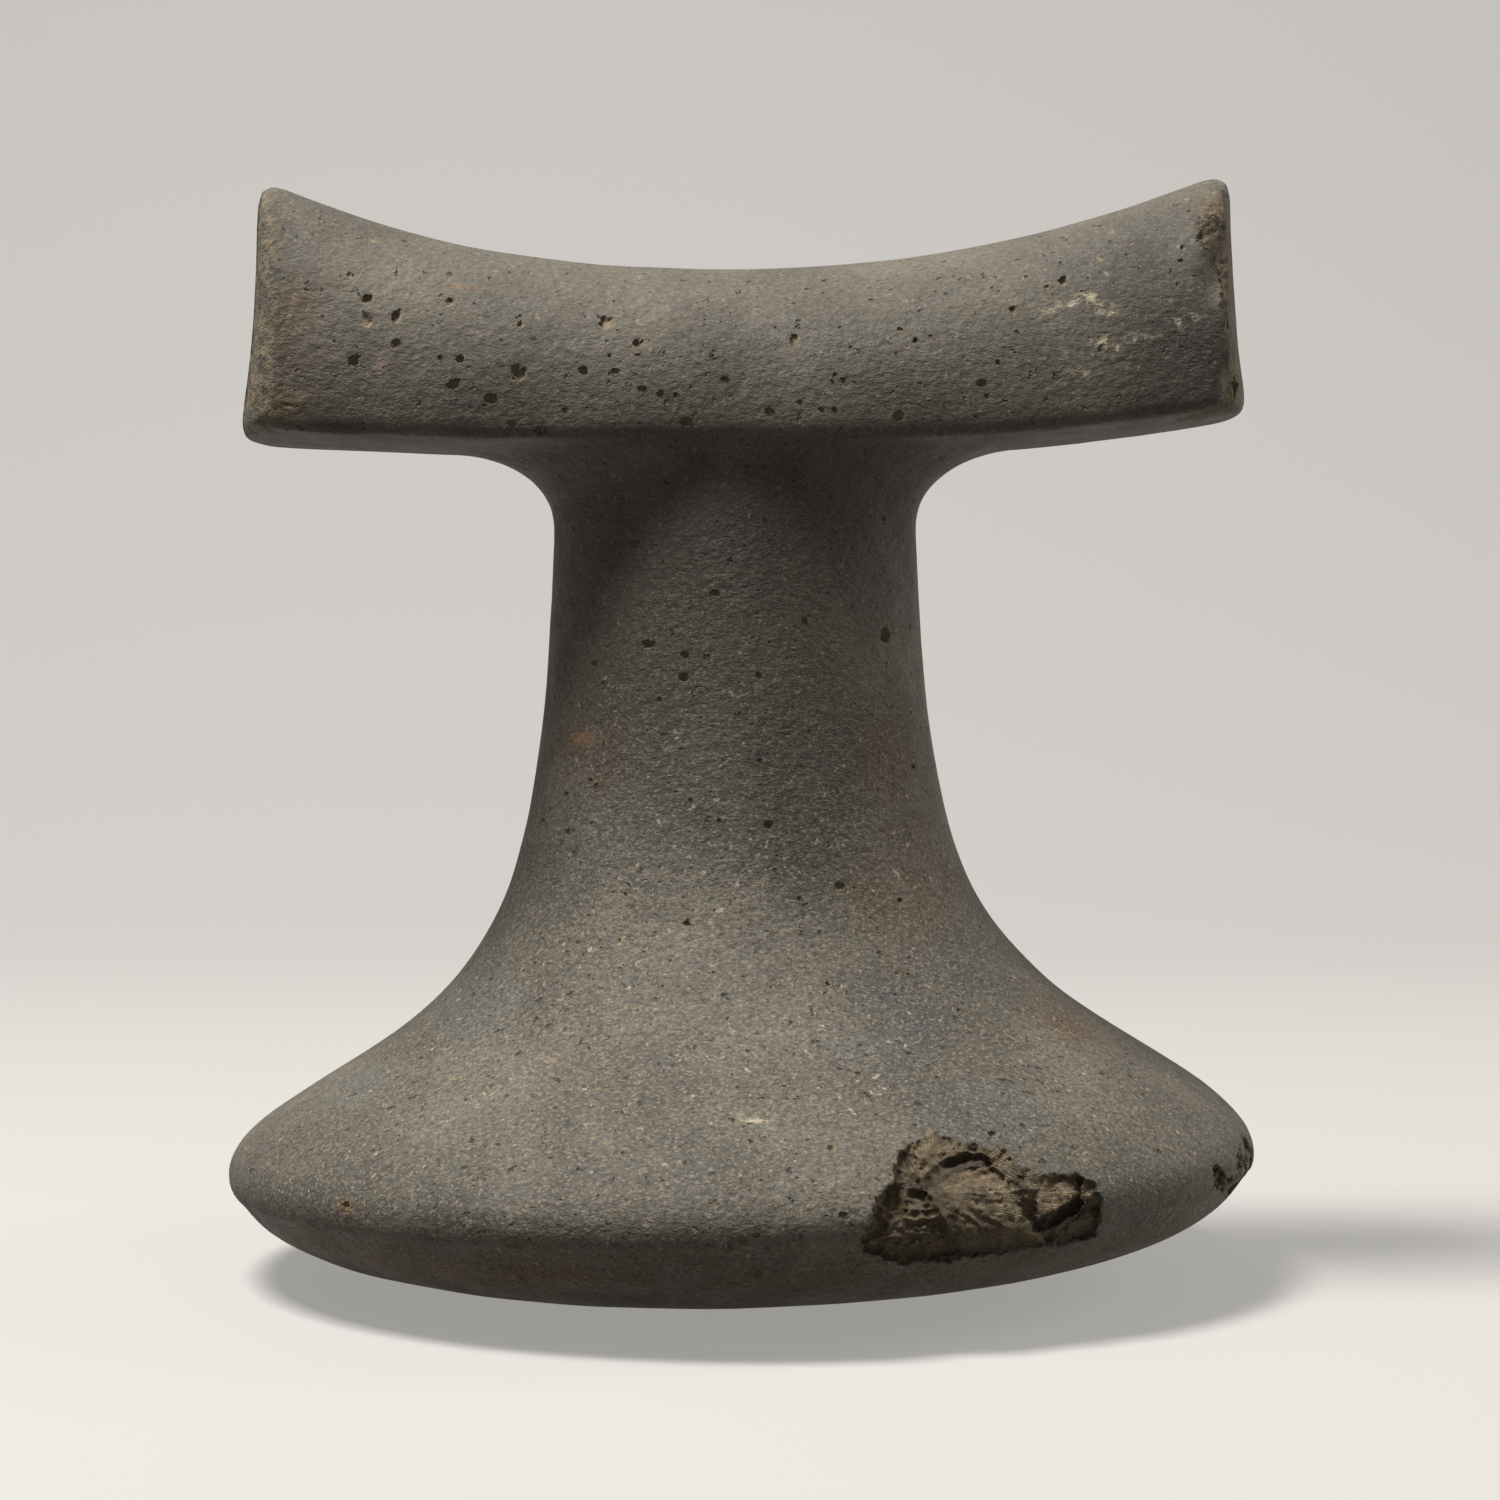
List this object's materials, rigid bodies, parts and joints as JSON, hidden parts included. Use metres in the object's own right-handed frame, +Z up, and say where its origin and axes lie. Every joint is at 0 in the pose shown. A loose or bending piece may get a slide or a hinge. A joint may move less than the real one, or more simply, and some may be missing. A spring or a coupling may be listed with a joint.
{
  "type": "poi pounder",
  "caption": "Hand-held stone pounder for mashing cooked root or fruit: a saddle-topped grip bar with raised horns, a rounded neck and a wide flared base with a convex pounding face",
  "frame": {"origin": "on the small worn flat that the pounder stands on, under the middle of the grip bar", "axes": "+Z up from the pounding face to the grip bar, +X along the grip bar, -Y towards the side with the large flake scar"},
  "size_m": [0.1394, 0.1394, 0.1482],
  "materials": {
    "basalt": "matte"
  },
  "bodies": {
    "root": {"stone_pounder": "basalt"}
  },
  "joints": []
}
